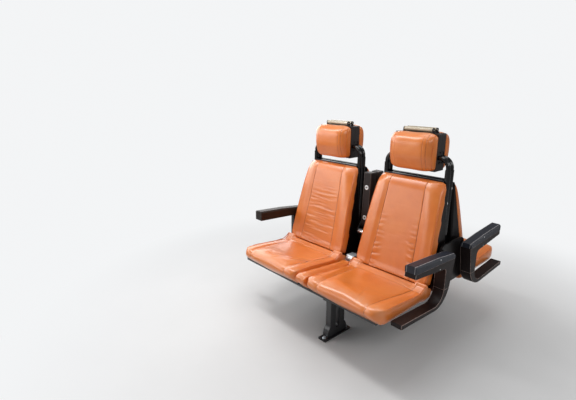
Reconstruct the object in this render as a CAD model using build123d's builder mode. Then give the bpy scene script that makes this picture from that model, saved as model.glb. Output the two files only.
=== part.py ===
from build123d import *
from math import cos, radians, sin, tan
import os

os.makedirs("parts", exist_ok=True)

# A back-to-back railway coach seat unit with four places, two facing each way, in millimetres.
# The origin is on the floor, midway between the two feet. +X points to the aisle, +Z up, and the
# front pair of seats faces -Y. Side views are drawn with the distance forward from the middle of
# the unit first and the height above the floor second.

# Tables of the places: name, and direction along Y for the ends or along X for the sides
ends = [("front", -1), ("rear", 1)]
sides = [("window", -1), ("aisle", 1)]

# Places of the seats
unit_x = -94.0              # middle of the seat pair, seen from the line of the feet
cushion_inner = 40.0        # inner side of a cushion, from the middle of the pair
cushion_width = 533.0
arm_width = 64.0
seat_gap = 0.3              # rest gap between a soft piece and what carries it
seat_offset = cushion_inner + cushion_width / 2
cushion_outer = cushion_inner + cushion_width
arm_outer = cushion_outer + arm_width

# Seat cushion, side view
pan_top = 322.0
cushion_nose = 682.0
nose_run = 84.0             # from the nose back to where the underside starts to rise
nose_height = 398.0
cushion_top = 441.0
top_back = 37.0             # from the nose back to the highest line
dish_forward = 285.0
dish_height = 406.0
lip_forward = 236.0
lip_height = 421.0
tab_height = 443.0
tab_width = 78.0            # raised tabs at both ends of the lip
outer_corner = 105.0        # plan radius of the front corners
inner_corner = 70.0
under_round = 60.0
filler_back = 4.0           # the filler cushion's nose and top stand back by these
filler_drop = 2.0

# Backrest. Its front face is drawn in from the rear one at the sides and the top.
recline = 14.0
back_foot_forward = 183.0   # rear face of the pad at its lower end
back_foot_height = 405.0
back_length = 588.0
back_bottom_width = 528.0
back_top_width = 448.0
back_thickness = 48.0
back_side_draft = 16.0
back_top_draft = 12.0
back_edge = 14.0
back_corner = 45.0
shell_inset = 10.0          # the shell stands in from the pad's edge by this much
shell_rear = 34.0           # rear face of the shell, from the middle of the unit
shell_round = 12.0
rail_top = 980.0
rail_thickness = 14.0
rail_near = 14.0            # rear edge of the rail, from the middle of the unit
rail_half_width = 194.0
rail_edge = 2.0
leg_gap = 4.0               # between the rail and the legs of the bow

# Headrest
head_width = 282.0
head_low = 1022.0
head_high = 1232.0
box_inset = 3.0             # each side of the box, from the pad's side
box_seam = 0.5
box_depth = 42.0
box_round = 5.0
recess_half = 34.0          # recess round the bow, up and down from its middle
recess_width = 36.0
recess_depth = 4.0
head_crown = 5.0            # the pad's top stands above the box by this much
head_pad_depth = 84.0
head_edge = 6.0
chin_reach = 0.62           # share of the pad's depth that its underside reaches
brow_height = 0.4           # share of the pad's height at which it is deepest
crown_back = 2.0            # the top stands back from there by this much
chin_radius = 28.0
brow_radius = 60.0
crown_radius = 62.0
# Sections of a headrest pad from its middle out: share of its half width, share of its depth, and
# how far its top and bottom are drawn in
head_stations = [(0.0, 1.0, 0.0), (0.8, 0.86, 3.0), (1.0, 0.42, 22.0)]
bow_radius = 13.0
bow_forward = 17.0
bow_half_span = 199.0
bow_height = 1100.0
bow_bend = 55.0
sleeve_radius = 16.0
sleeve_top = 1038.0
bore_gap = 0.3

# Card drums on top of the headrest
drum_radius = 12.0
drum_length = 176.0
drum_forward = 19.0
drum_end = 10.0             # plain length at each end of the card slot
drum_dish = 7.5             # radius of the hollow in each ear
drum_dish_depth = 2.0
card_slot = 2.0
card_slot_depth = 3.0
card_turn = 35.0            # degrees from straight up, towards the middle
stand_plate = 4.0
stand_ear = 7.0
ear_neck = 19.0
ear_radius = 11.5
drum_pin = 4.0
drum_clear = 1.5
knob_radius = 4.5
knob_length = 6.0
knob_clear = 1.0            # between the stand's foot and the knob

# Aisle band and arms, side view
ledge_tip = 577.0
ledge_top = 369.0
ledge_thickness = 25.0
band_heel = (151.0, 318.0)
band_heel_radius = 140.0
band_inner = (182.0, 341.0)
band_inner_radius = 80.0
band_edge = 1.5
band_tip_radius = 4.0
band_arm_radius = 25.0      # under the arm, where it meets the column
seam_height = 421.0         # joint across the inner face of the column
seam_width = 2.5
seam_depth = 1.2
arm_tip = 486.0
arm_rear = 92.0
arm_low_front = 580.0
arm_low_rear = 548.0
window_arm_low_rear = 556.0
arm_split_front = 606.0
arm_split_rear = 584.0
arm_top_front = 645.0
arm_top_middle = (268.0, 630.0)
arm_top_rear = 610.0
arm_bend = 300.0            # radius of the bend in an arm's top
arm_bevel = 9.0
bracket_thickness = 26.0
bracket_toe = 30.0          # the bracket's foot starts this far ahead of the arm's rear end
bracket_knee = 60.0         # height of the bend in its front edge above the frame
arm_rear_lean = 4.0         # an arm's rear end leans in by this much

# Middle armrest, folded up between the backrests
middle_arm_width = 60.0
middle_arm_depth = 60.0
middle_arm_length = 343.0
middle_arm_lean = 2.0
middle_arm_corner = 8.0
hinge_forward = 48.0
hinge_height = 612.0
hinge_pin_radius = 6.0
hinge_pin_gap = 0.05
hinge_ear = 8.0
hinge_side_gap = 0.6
hinge_web = 24.0
hinge_boss = 20.0           # radius of the ears round each pin
middle_arm_bevel = 5.0
stop_forward = 88.0         # polished stop under the folded-down arm
stop_radius = 16.0
stop_clear = 5.0
stop_round = 3.0

# Frame, feet and wall brackets
pan_thickness = 3.0
pan_clear = 6.0             # between the pan and the backrest's slope
pan_short = 8.0             # the pan ends this far behind the rise to the nose
pan_corner = 30.0
bar_height = 29.0
bar_depth = 45.0
bar_near = 262.0
bar_short = 53.0            # the far bar lies this far behind the rise to the nose
tube_round = 5.0
plate_round = 6.0
bar_aisle_end = 480.0       # from the middle of the pair
spine_top = 400.0
spine_height = 26.0
spine_depth = 300.0
hanger_thickness = 8.0
hanger_depth = 200.0
hanger_shoulder = 185.0
hanger_places = [-450.0, 94.0, 400.0]   # from the middle of the pair
foot_rail_height = 40.0
foot_width = 60.0
foot_near = 322.0
foot_far = 558.0
foot_plate = 8.0
post_depth = 45.0
post_gap = 34.0
post_width = 40.0
post_flare = 20.0
flare_height = 70.0
flare_sag = 10.0
post_slot = 120.0
bolt_radius = 6.5
bolt_inset = 23.0
wall_gap = 3.0              # between the wall and the window arm
wall_plate = 6.0
wall_plate_height = 82.0
wall_bolt_height = 350.0
wall_bolt_places = [300.0, 510.0]
cover_thickness = 12.0
cover_edge = 1.0            # the cover stands in from the backrest's slope by this much
cover_low = 388.0
cover_top = 640.0
cover_low_radius = 6.0
cover_top_radius = 40.0
tray_half_width = 28.0
tray_far = 214.0
tray_low = 350.0
tray_top = 425.0
tray_drop = 18.0            # the lid's slanted front edge
tray_slant = 10.0
lid_height = 24.0
lid_joint = 1.2

nose_low = cushion_nose - nose_run
bar_places = [bar_near, nose_low - bar_short]
frame_top = pan_top - pan_thickness
wall_reach = arm_outer + wall_gap
frame_bottom = frame_top - bar_height
foot_middle = (foot_near + foot_far) / 2
bolt_places = [foot_near + bolt_inset, foot_far - bolt_inset]


def side_plane(x, facing):
    """Side view at x: first axis forward from the middle of the unit, second axis up."""
    return Plane(origin=(x, 0, 0), x_dir=(0, facing, 0), z_dir=(facing, 0, 0))


def back_plane(x, facing):
    """Rear face of a backrest pad: first axis across, second up the slope, normal forward."""
    start = (x, facing * back_foot_forward, back_foot_height)
    normal = (0, facing * cos(radians(recline)), sin(radians(recline)))
    return Plane(origin=start, x_dir=(-facing, 0, 0), z_dir=normal)


def slope(height):
    """Forward place of the backrest's slope at a height."""
    return back_foot_forward + (back_foot_height - height) * tan(radians(recline))


def store(piece, label):
    piece.part.label = label
    export_step(piece.part, f"parts/{label}.step")


def pad_front(height):
    """Forward place of the backrest pad's front face at a height."""
    return slope(height) + back_thickness / cos(radians(recline))


def cushion_outline():
    """Side view of a seat cushion. The backrest pad stands on the shelf behind the tab."""
    shelf = back_foot_height - seat_gap
    shelf_rear = (slope(shelf) + seat_gap, shelf)
    shelf_front = (
        shelf_rear[0] + back_thickness * cos(radians(recline)),
        shelf + back_thickness * sin(radians(recline)),
    )
    points = [
        (slope(pan_top) + seat_gap, pan_top + seat_gap),
        (nose_low, pan_top + seat_gap),
        (cushion_nose, nose_height),
        (cushion_nose - top_back, cushion_top),
        (dish_forward, dish_height),
        (lip_forward, tab_height),
        (pad_front(tab_height) + seat_gap, tab_height),
        shelf_front,
        shelf_rear,
    ]
    return FilletPolyline(*points, radius=[4, 60, 35, 40, 14, 7, 2, 2, 2], close=True)


# Seat cushions, one for each place: rounded in plan and below, dished, with a low lip between two tabs
for end, facing in ends:
    for side, way in sides:
        seat_x = unit_x + way * seat_offset
        front = -1 if facing > 0 else 0
        outer = -1 if way > 0 else 0
        inner = 0 if way > 0 else -1
        with BuildPart() as cushion:
            with BuildSketch(Plane.XY.offset(pan_top + seat_gap)):
                with Locations((seat_x, facing * cushion_nose / 2)):
                    Rectangle(cushion_width - 2 * seat_gap, cushion_nose)
                fillet(vertices().group_by(Axis.Y)[front].sort_by(Axis.X)[outer], radius=outer_corner)
                fillet(vertices().group_by(Axis.Y)[front].sort_by(Axis.X)[inner], radius=inner_corner)
            extrude(amount=tab_height - pan_top)
            under_edges = faces().sort_by(Axis.Z)[0].edges().filter_by(lambda e: abs(e.center().Y) > 1)
            fillet(under_edges, radius=under_round)
            with BuildSketch(side_plane(seat_x, facing)):
                with BuildLine():
                    cushion_outline()
                make_face()
            extrude(amount=cushion_width, both=True, mode=Mode.INTERSECT)
            with BuildSketch(side_plane(seat_x, facing)):
                with BuildLine():
                    Polyline(
                        (dish_forward, dish_height),
                        (lip_forward, lip_height),
                        (back_foot_forward, lip_height),
                        (back_foot_forward, tab_height + 1),
                        (dish_forward, tab_height + 1),
                        close=True,
                    )
                make_face()
            extrude(amount=cushion_width / 2 - tab_width, both=True, mode=Mode.SUBTRACT)
        store(cushion, f"seat_cushion_{end}_{side}")

# Narrow filler cushion between each pair of seat cushions
for end, facing in ends:
    with BuildPart() as filler:
        with BuildSketch(side_plane(unit_x, facing)):
            with BuildLine():
                FilletPolyline(
                    (lip_forward, pan_top + seat_gap),
                    (nose_low, pan_top + seat_gap),
                    (cushion_nose - filler_back, nose_height),
                    (cushion_nose - top_back - filler_drop, cushion_top - filler_drop),
                    (dish_forward, dish_height),
                    (lip_forward, dish_height),
                    radius=[4, 60, 33, 38, 14, 14],
                    close=True,
                )
            make_face()
        extrude(amount=cushion_inner - seat_gap, both=True)
    store(filler, f"filler_cushion_{end}")


def back_outline(inset, low, high):
    """Backrest outline on its slope, drawn in by inset, from low to high."""
    taper = (back_bottom_width - back_top_width) / 2 / back_length
    half_low = back_bottom_width / 2 - taper * low - inset
    half_high = back_bottom_width / 2 - taper * high - inset
    Polyline((-half_low, low), (half_low, low), (half_high, high), (-half_high, high), close=True)


# Backrest pads
for end, facing in ends:
    for side, way in sides:
        seat_x = unit_x + way * seat_offset
        with BuildPart() as pad:
            for lift, side_draft, top_draft in ((0, 0, 0), (back_thickness, back_side_draft, back_top_draft)):
                with BuildSketch(back_plane(seat_x, facing).offset(lift)):
                    with BuildLine():
                        back_outline(side_draft, 0, back_length - top_draft)
                    make_face()
                    fillet(vertices(), radius=back_corner)
            loft(ruled=True)
            front_face = faces().sort_by(Axis(origin=(0, 0, 0), direction=back_plane(seat_x, facing).z_dir))[-1]
            fillet(front_face.edges(), radius=back_edge)
        store(pad, f"backrest_pad_{end}_{side}")

# Back shells: a wedge housing behind each pad, rounded towards the gap between the backs
shell_top = rail_top - rail_thickness
for end, facing in ends:
    for side, way in sides:
        seat_x = unit_x + way * seat_offset
        with BuildPart() as shell:
            with BuildSketch(side_plane(seat_x, facing)):
                with BuildLine():
                    Polyline(
                        (shell_rear, spine_top),
                        (slope(spine_top), spine_top),
                        (slope(shell_top), shell_top),
                        (shell_rear, shell_top),
                        close=True,
                    )
                make_face()
            extrude(amount=back_bottom_width, both=True)
            with BuildSketch(back_plane(seat_x, facing)):
                with BuildLine():
                    back_outline(shell_inset, -back_length / 2, back_length + shell_inset)
                make_face()
                fillet(vertices().group_by(Axis.Y)[-1], radius=back_corner - shell_inset)
            extrude(amount=2 * cushion_nose, both=True, mode=Mode.INTERSECT)
            rear_face = faces().sort_by(Axis.Y)[-1 if facing < 0 else 0]
            fillet(rear_face.edges().filter_by(lambda e: abs(e.tangent_at(0.5).Z) > 0.9), radius=shell_round)
        store(shell, f"back_shell_{end}_{side}")

# Top rails: a flat bar on each shell, with a tongue that reaches in between the legs of the bow
with BuildPart() as rails:
    for end, facing in ends:
        for side, way in sides:
            seat_x = unit_x + way * seat_offset
            bar_far = slope(rail_top) - seat_gap
            tongue_half = bow_half_span - sleeve_radius - leg_gap
            with BuildSketch(Plane.XY.offset(shell_top)):
                with Locations((seat_x, facing * (shell_rear + bar_far) / 2)):
                    Rectangle(2 * rail_half_width, bar_far - shell_rear)
                with Locations((seat_x, facing * (rail_near + bar_far) / 2)):
                    Rectangle(2 * tongue_half, bar_far - rail_near)
            extrude(amount=rail_thickness)
    chamfer(edges().group_by(Axis.Z)[-1], length=rail_edge)
store(rails, "top_rails")

# Headrest boxes, in halves that meet at the middle of the unit, each bored for its bow
box_half = head_width / 2 - box_inset
for end, facing in ends:
    for side, way in sides:
        seat_x = unit_x + way * seat_offset
        with BuildPart() as box:
            with BuildSketch(Plane.XY.offset(head_low)):
                with Locations((seat_x, facing * (box_seam + box_depth) / 2)):
                    Rectangle(2 * box_half, box_depth - box_seam)
            extrude(amount=head_high - head_low)
            fillet(edges().filter_by(Axis.Y), radius=box_round)
            with BuildSketch(side_plane(seat_x, facing)):
                with Locations((bow_forward, bow_height)):
                    Circle(bow_radius + bore_gap)
            extrude(amount=box_half, both=True, mode=Mode.SUBTRACT)
            for x in (seat_x - box_half, seat_x + box_half):
                with BuildSketch(side_plane(x, facing)):
                    with Locations((bow_forward, bow_height)):
                        SlotCenterToCenter(recess_half, recess_width, rotation=90)
                extrude(amount=recess_depth, both=True, mode=Mode.SUBTRACT)
        store(box, f"headrest_box_{end}_{side}")



def head_section(share, drop):
    """Side view of a headrest pad with a share of its depth, its top and bottom drawn in by drop."""
    rear = box_depth + seat_gap
    front = rear + share * head_pad_depth
    low = head_low + drop
    high = head_high + head_crown - drop
    FilletPolyline(
        (rear, low),
        (rear + share * chin_reach * head_pad_depth, low),
        (front, low + brow_height * (high - low)),
        (front - crown_back, high),
        (rear, high),
        radius=[share * chin_radius, share * brow_radius, share * crown_radius],
    )
    Line((rear, high), (rear, low))


# Headrest pads: a D in side view, lofted across and shallower towards both sides
mirrored_stations = [(-place, share, drop) for place, share, drop in reversed(head_stations[1:])]
for end, facing in ends:
    for side, way in sides:
        seat_x = unit_x + way * seat_offset
        with BuildPart() as head:
            for place, share, drop in mirrored_stations + head_stations:
                with BuildSketch(side_plane(seat_x + place * head_width / 2, facing)):
                    with BuildLine():
                        head_section(share, drop)
                    make_face()
            loft()
            side_faces = faces().sort_by(Axis.X)
            fillet(side_faces[0].edges() + side_faces[-1].edges(), radius=head_edge)
        store(head, f"headrest_pad_{end}_{side}")

# Headrest bows: a tube bent over the seat and through the box, with a wider sleeve on each leg
for end, facing in ends:
    for side, way in sides:
        seat_x = unit_x + way * seat_offset
        bow_y = facing * bow_forward
        leg_end = sleeve_top - 2 * bow_bend
        with BuildPart() as bow:
            with BuildLine(Plane(origin=(seat_x, bow_y, 0), x_dir=(1, 0, 0), z_dir=(0, -1, 0))) as run:
                FilletPolyline(
                    (-bow_half_span, leg_end),
                    (-bow_half_span, bow_height),
                    (bow_half_span, bow_height),
                    (bow_half_span, leg_end),
                    radius=bow_bend,
                )
            with BuildSketch(Plane(origin=run.line @ 0, z_dir=run.line % 0)):
                Circle(bow_radius)
            sweep()
            with BuildSketch(Plane.XY.offset(spine_top)):
                with Locations((seat_x - bow_half_span, bow_y), (seat_x + bow_half_span, bow_y)):
                    Circle(sleeve_radius)
            extrude(amount=sleeve_top - spine_top)
        store(bow, f"headrest_bow_{end}_{side}")

# Card stands: a plate on each headrest with four dished ears and a small knob under each
drum_height = head_high + stand_plate + drum_clear + drum_radius
ear_face = drum_length / 2 + seat_gap + stand_ear
knob_height = head_high + knob_radius + knob_clear
for side, way in sides:
    seat_x = unit_x + way * seat_offset
    with BuildPart() as stand:
        with BuildSketch(Plane.XY.offset(head_high)):
            with Locations((seat_x, 0)):
                Rectangle(2 * ear_face, 4 * drum_forward)
        extrude(amount=stand_plate)
        for x in (seat_x - ear_face + stand_ear / 2, seat_x + ear_face - stand_ear / 2):
            with BuildSketch(side_plane(x, 1)):
                for y in (-drum_forward, drum_forward):
                    with Locations((y, (head_high + drum_height) / 2)):
                        Rectangle(ear_neck, drum_height - head_high)
                    with Locations((y, drum_height)):
                        Circle(ear_radius)
                        Circle(drum_pin + bore_gap, mode=Mode.SUBTRACT)
            extrude(amount=stand_ear / 2, both=True)
        for x in (seat_x - ear_face, seat_x + ear_face):
            with BuildSketch(side_plane(x, 1)):
                with Locations((-drum_forward, drum_height), (drum_forward, drum_height)):
                    Circle(drum_dish)
            extrude(amount=drum_dish_depth, both=True, mode=Mode.SUBTRACT)
            with BuildSketch(side_plane(x, 1)):
                with Locations((-drum_forward, knob_height), (drum_forward, knob_height)):
                    Circle(knob_radius)
            extrude(amount=knob_length, both=True)
    store(stand, f"card_stand_{side}")

# Card drums: one for each direction, slotted along its length for the card
for end, facing in ends:
    for side, way in sides:
        seat_x = unit_x + way * seat_offset
        with BuildPart() as drum:
            with BuildSketch(side_plane(seat_x, facing)):
                with Locations((drum_forward, drum_height)):
                    Circle(drum_radius)
            extrude(amount=drum_length / 2, both=True)
            with BuildSketch(side_plane(seat_x, facing)):
                with Locations((drum_forward, drum_height)):
                    Circle(drum_pin)
            extrude(amount=ear_face, both=True)
            slot_way = (0, -facing * sin(radians(card_turn)), cos(radians(card_turn)))
            slot_plane = Plane(
                origin=(seat_x, facing * drum_forward, drum_height), x_dir=(1, 0, 0), z_dir=slot_way
            )
            with BuildSketch(slot_plane.offset(drum_radius - card_slot_depth)):
                Rectangle(drum_length - 2 * drum_end, card_slot)
            extrude(amount=2 * card_slot_depth, mode=Mode.SUBTRACT)
        store(drum, f"card_drum_{end}_{side}")


def chamfer_sides(piece, length):
    """Chamfer the outline of the two end faces of a piece that was drawn in side view."""
    side_faces = piece.faces().filter_by(Axis.X).sort_by(Axis.X)
    chamfer(side_faces[0].outer_wire().edges() + side_faces[-1].outer_wire().edges(), length=length)


# Aisle bands: the ledge beside the cushion, the curved column behind it and the arm above
band_x = unit_x + cushion_outer + arm_width / 2
for end, facing in ends:
    with BuildPart() as band:
        with BuildSketch(side_plane(band_x, facing)):
            with BuildLine():
                FilletPolyline(
                    (ledge_tip, ledge_top),
                    (ledge_tip, ledge_top - ledge_thickness),
                    band_heel,
                    (arm_rear, arm_split_rear),
                    (arm_tip - 2, arm_split_front),
                    (arm_tip, arm_low_front),
                    (band_inner[0], arm_low_rear),
                    band_inner,
                    radius=[*[band_tip_radius] * 2, band_heel_radius, *[band_tip_radius] * 3]
                    + [band_arm_radius, band_inner_radius],
                    close=True,
                )
            make_face()
        extrude(amount=arm_width / 2, both=True)
        chamfer_sides(band.part, band_edge)
        with BuildSketch(side_plane(band_x, facing)):
            with Locations((band_inner[0], seam_height)):
                Rectangle(2 * seam_depth, seam_width)
        extrude(amount=arm_width, both=True, mode=Mode.SUBTRACT)
    store(band, f"aisle_band_{end}")


def arm_outline(under_rear, under_front):
    """Side view of an arm with a gently bent top, above an underside from rear to tip."""
    top_rear = (arm_rear + arm_rear_lean, arm_top_rear)
    FilletPolyline((arm_tip, arm_top_front), arm_top_middle, top_rear, radius=arm_bend)
    Polyline(top_rear, under_rear, under_front, (arm_tip, arm_top_front))


def bevel_arm(piece):
    """Bevel the long upper edges of an arm."""
    side_faces = piece.faces().filter_by(Axis.X).sort_by(Axis.X)
    side_edges = side_faces[0].edges() + side_faces[-1].edges()
    upper_edges = side_edges.filter_by(lambda e: e.center().Z > arm_top_rear)
    chamfer(upper_edges.filter_by(lambda e: abs(e.tangent_at(0.5).Z) < 0.5), length=arm_bevel)


# Arm pads on the aisle bands
for end, facing in ends:
    with BuildPart() as arm_pad:
        with BuildSketch(side_plane(band_x, facing)):
            with BuildLine():
                arm_outline((arm_rear, arm_split_rear + seat_gap), (arm_tip, arm_split_front + seat_gap))
            make_face()
        extrude(amount=arm_width / 2, both=True)
        bevel_arm(arm_pad.part)
    store(arm_pad, f"arm_pad_{end}")


def window_arm_under(forward):
    """Height of the window arm's underside at a distance forward."""
    rise = (arm_low_front - window_arm_low_rear) / (arm_tip - arm_rear)
    return window_arm_low_rear + rise * (forward - arm_rear)


# Window arms: a whole bar each, held from behind by a bracket
for end, facing in ends:
    arm_x = unit_x - cushion_outer - arm_width / 2
    with BuildPart() as window_arm:
        with BuildSketch(side_plane(arm_x, facing)):
            with BuildLine():
                arm_outline((arm_rear, window_arm_under(arm_rear)), (arm_tip, window_arm_under(arm_tip)))
            make_face()
        extrude(amount=arm_width / 2, both=True)
        bevel_arm(window_arm.part)
    store(window_arm, f"window_arm_{end}")
    bracket_x = unit_x - cushion_outer - bracket_thickness / 2
    bracket_rear = arm_rear + arm_rear_lean
    with BuildPart() as bracket:
        with BuildSketch(side_plane(bracket_x, facing)):
            with BuildLine():
                FilletPolyline(
                    (bracket_rear, window_arm_under(bracket_rear) - seat_gap),
                    (band_inner[0], window_arm_under(band_inner[0]) - seat_gap),
                    (band_inner[0], frame_bottom + bracket_knee),
                    (slope(frame_bottom), frame_bottom),
                    (arm_rear + bracket_toe, frame_bottom),
                    radius=[2, 2, 60, 4, 40],
                    close=True,
                )
            make_face()
        extrude(amount=bracket_thickness / 2, both=True)
    store(bracket, f"window_arm_bracket_{end}")

# Middle armrests, folded up and leaning back on their stop
for end, facing in ends:
    lean = radians(middle_arm_lean)
    up_along = (0, -facing * sin(lean), cos(lean))
    arm_plane = Plane(
        origin=(unit_x, facing * hinge_forward, hinge_height),
        x_dir=up_along,
        z_dir=(-facing, 0, 0),
    )
    with BuildPart() as middle_arm:
        with BuildSketch(arm_plane):
            with Locations((middle_arm_length / 2, 0)):
                Rectangle(middle_arm_length, middle_arm_depth)
                fillet(vertices().sort_by(Axis.X)[-2:], radius=middle_arm_corner)
            Circle(middle_arm_depth / 2)
        extrude(amount=middle_arm_width / 2, both=True)
        chamfer_sides(middle_arm.part, middle_arm_bevel)
        with BuildSketch(arm_plane):
            Circle(hinge_pin_radius + hinge_pin_gap)
        extrude(amount=middle_arm_width, both=True, mode=Mode.SUBTRACT)
    store(middle_arm, f"middle_armrest_{end}")

# Hinge stand of the middle armrests: a web between two ears that hold the pins and the stops
ear_inner = middle_arm_width / 2 + hinge_side_gap
stop_height = hinge_height - middle_arm_depth / 2 - stop_clear - stop_radius
with BuildPart() as hinge:
    with BuildSketch(Plane.XY.offset(spine_top)):
        with Locations((unit_x, 0)):
            Rectangle(2 * (ear_inner + hinge_ear), hinge_web)
    extrude(amount=hinge_height + hinge_web / 2 - spine_top)
    for way in (-1, 1):
        with BuildSketch(side_plane(unit_x + way * (ear_inner + hinge_ear / 2), 1)):
            with Locations((-hinge_forward, hinge_height), (hinge_forward, hinge_height)):
                Circle(hinge_boss)
            with Locations((-stop_forward, stop_height), (stop_forward, stop_height)):
                Circle(stop_radius)
            make_hull()
        extrude(amount=hinge_ear / 2, both=True)
    with BuildSketch(side_plane(unit_x, 1)):
        with Locations((-hinge_forward, hinge_height), (hinge_forward, hinge_height)):
            Circle(hinge_pin_radius)
    extrude(amount=ear_inner + hinge_ear, both=True)
store(hinge, "armrest_hinge")

# Polished stops between the ears, where the folded-down armrests rest
with BuildPart() as stops:
    with BuildSketch(side_plane(unit_x, 1)):
        with Locations((-stop_forward, stop_height), (stop_forward, stop_height)):
            Circle(stop_radius)
    extrude(amount=ear_inner - seat_gap, both=True)
    fillet(edges().filter_by(GeomType.CIRCLE), radius=stop_round)
store(stops, "armrest_stops")

# Metal boxes between the backrests, on the front and rear faces of the spine
tray_near = spine_depth / 2 + seat_gap
for end, facing in ends:
    with BuildPart() as tray:
        with BuildSketch(side_plane(unit_x, facing)):
            with BuildLine():
                FilletPolyline(
                    (tray_near, tray_low),
                    (tray_far, tray_low),
                    (tray_far, tray_top - tray_drop),
                    (tray_far - tray_slant, tray_top),
                    (tray_near, tray_top),
                    radius=[1, 8, 8, 4, 1],
                    close=True,
                )
            make_face()
        extrude(amount=tray_half_width, both=True)
        with BuildSketch(Plane.XY.offset(tray_top - lid_height)):
            with Locations((unit_x, facing * tray_far / 2)):
                Rectangle(2 * tray_half_width, tray_far)
                Rectangle(2 * (tray_half_width - lid_joint), tray_far - 2 * lid_joint, mode=Mode.SUBTRACT)
        extrude(amount=lid_joint, mode=Mode.SUBTRACT)
    store(tray, f"metal_box_{end}")

# Covers that close the wedge between the back shells at each side of the unit
for side, way in sides:
    cover_x = unit_x + way * (cushion_outer - cover_thickness / 2)
    with BuildPart() as cover:
        with BuildSketch(side_plane(cover_x, 1)):
            with BuildLine():
                FilletPolyline(
                    (cover_edge - slope(cover_low), cover_low),
                    (slope(cover_low) - cover_edge, cover_low),
                    (slope(cover_top) - cover_edge, cover_top),
                    (cover_edge - slope(cover_top), cover_top),
                    radius=[*[cover_low_radius] * 2, *[cover_top_radius] * 2],
                    close=True,
                )
            make_face()
        extrude(amount=cover_thickness / 2, both=True)
    store(cover, f"side_cover_{side}")

# Seat pans under the cushions
pan_near = slope(pan_top) + pan_clear
pan_far = nose_low - pan_short
pan_half = cushion_outer - under_round
for end, facing in ends:
    with BuildPart() as pan:
        with BuildSketch(Plane.XY.offset(frame_top)):
            with Locations((unit_x, facing * (pan_near + pan_far) / 2)):
                RectangleRounded(2 * pan_half, pan_far - pan_near, pan_corner)
        extrude(amount=pan_thickness)
    store(pan, f"seat_pan_{end}")

# Cross bars under the pans, from the wall bracket to the aisle side
for end, facing in ends:
    with BuildPart() as bars:
        bar_start = unit_x - wall_reach + wall_plate
        bar_end = unit_x + bar_aisle_end
        with BuildSketch(Plane.YZ.offset(bar_start)):
            for place in bar_places:
                with Locations((facing * place, (frame_top + frame_bottom) / 2)):
                    RectangleRounded(bar_depth, bar_height, tube_round)
        extrude(amount=bar_end - bar_start)
    store(bars, f"cross_bars_{end}")

# Spine beam along the middle, which carries the shells, the bows and the armrest hinge
with BuildPart() as spine:
    spine_half_length = cushion_outer - cover_thickness
    with BuildSketch(Plane.YZ.offset(unit_x - spine_half_length)):
        with Locations((0, spine_top - spine_height / 2)):
            RectangleRounded(spine_depth, spine_height, tube_round)
    extrude(amount=2 * spine_half_length)
store(spine, "spine_beam")

# Foot rail along the feet, under the cross bars
foot_rail_half = bar_places[1] - bar_depth / 2
with BuildPart() as foot_rail:
    with BuildSketch(Plane.XZ.offset(-foot_rail_half)):
        with Locations((0, frame_bottom - foot_rail_height / 2)):
            RectangleRounded(foot_width, foot_rail_height, tube_round)
    extrude(amount=2 * foot_rail_half)
store(foot_rail, "foot_rail")

# Hangers: upright plates that carry the spine on the cross bars and the foot rail
with BuildPart() as hangers:
    for place in hanger_places:
        with BuildSketch(Plane.YZ.offset(unit_x + place - hanger_thickness / 2)):
            with BuildLine():
                bar_inner = bar_places[0] - bar_depth / 2
                Polyline(
                    (-bar_inner, frame_bottom),
                    (bar_inner, frame_bottom),
                    (bar_inner, frame_top - seat_gap),
                    (hanger_shoulder, frame_top - seat_gap),
                    (hanger_depth / 2, spine_top - spine_height),
                    (-hanger_depth / 2, spine_top - spine_height),
                    (-hanger_shoulder, frame_top - seat_gap),
                    (-bar_inner, frame_top - seat_gap),
                    close=True,
                )
            make_face()
        extrude(amount=hanger_thickness)
store(hangers, "spine_hangers")

# Pedestals: a foot plate with two bolts and two posts that flare into it
post_top = frame_bottom - foot_rail_height
for end, facing in ends:
    with BuildPart() as pedestal:
        with BuildSketch(Plane.XY):
            with Locations((0, facing * foot_middle)):
                RectangleRounded(foot_width, foot_far - foot_near, plate_round)
            with Locations([(0, facing * place) for place in bolt_places]):
                Circle(bolt_radius, mode=Mode.SUBTRACT)
        extrude(amount=foot_plate)
        half_posts = post_gap / 2 + post_depth
        with BuildSketch(side_plane(0, facing)):
            with BuildLine():
                start = foot_middle - half_posts
                finish = foot_middle + half_posts
                flare_top = foot_plate + flare_height
                flare_start = (start - post_flare, foot_plate)
                flare_finish = (finish + post_flare, foot_plate)
                Line(flare_start, flare_finish)
                SagittaArc(flare_finish, (finish, flare_top), -flare_sag)
                Polyline((finish, flare_top), (finish, post_top), (start, post_top), (start, flare_top))
                SagittaArc((start, flare_top), flare_start, -flare_sag)
            make_face()
            with Locations((foot_middle, (foot_plate + post_top) / 2)):
                SlotCenterToCenter(post_slot, post_gap, rotation=90, mode=Mode.SUBTRACT)
        extrude(amount=post_width / 2, both=True)
    store(pedestal, f"pedestal_{end}")

# Wall brackets: a bolt plate on the wall at the end of each pair of cross bars
for end, facing in ends:
    plate_near = bar_places[0] - bar_depth / 2
    plate_far = bar_places[1] + bar_depth / 2
    with BuildPart() as wall_bracket:
        with BuildSketch(Plane.YZ.offset(unit_x - wall_reach)):
            with Locations((facing * (plate_near + plate_far) / 2, frame_bottom + wall_plate_height / 2)):
                RectangleRounded(plate_far - plate_near, wall_plate_height, plate_round)
            with Locations([(facing * place, wall_bolt_height) for place in wall_bolt_places]):
                Circle(bolt_radius, mode=Mode.SUBTRACT)
        extrude(amount=wall_plate)
    store(wall_bracket, f"wall_bracket_{end}")
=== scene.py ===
import bpy
import bmesh
import math
import random
import numpy as np
from mathutils import Matrix, Vector
from mathutils.bvhtree import BVHTree


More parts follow.
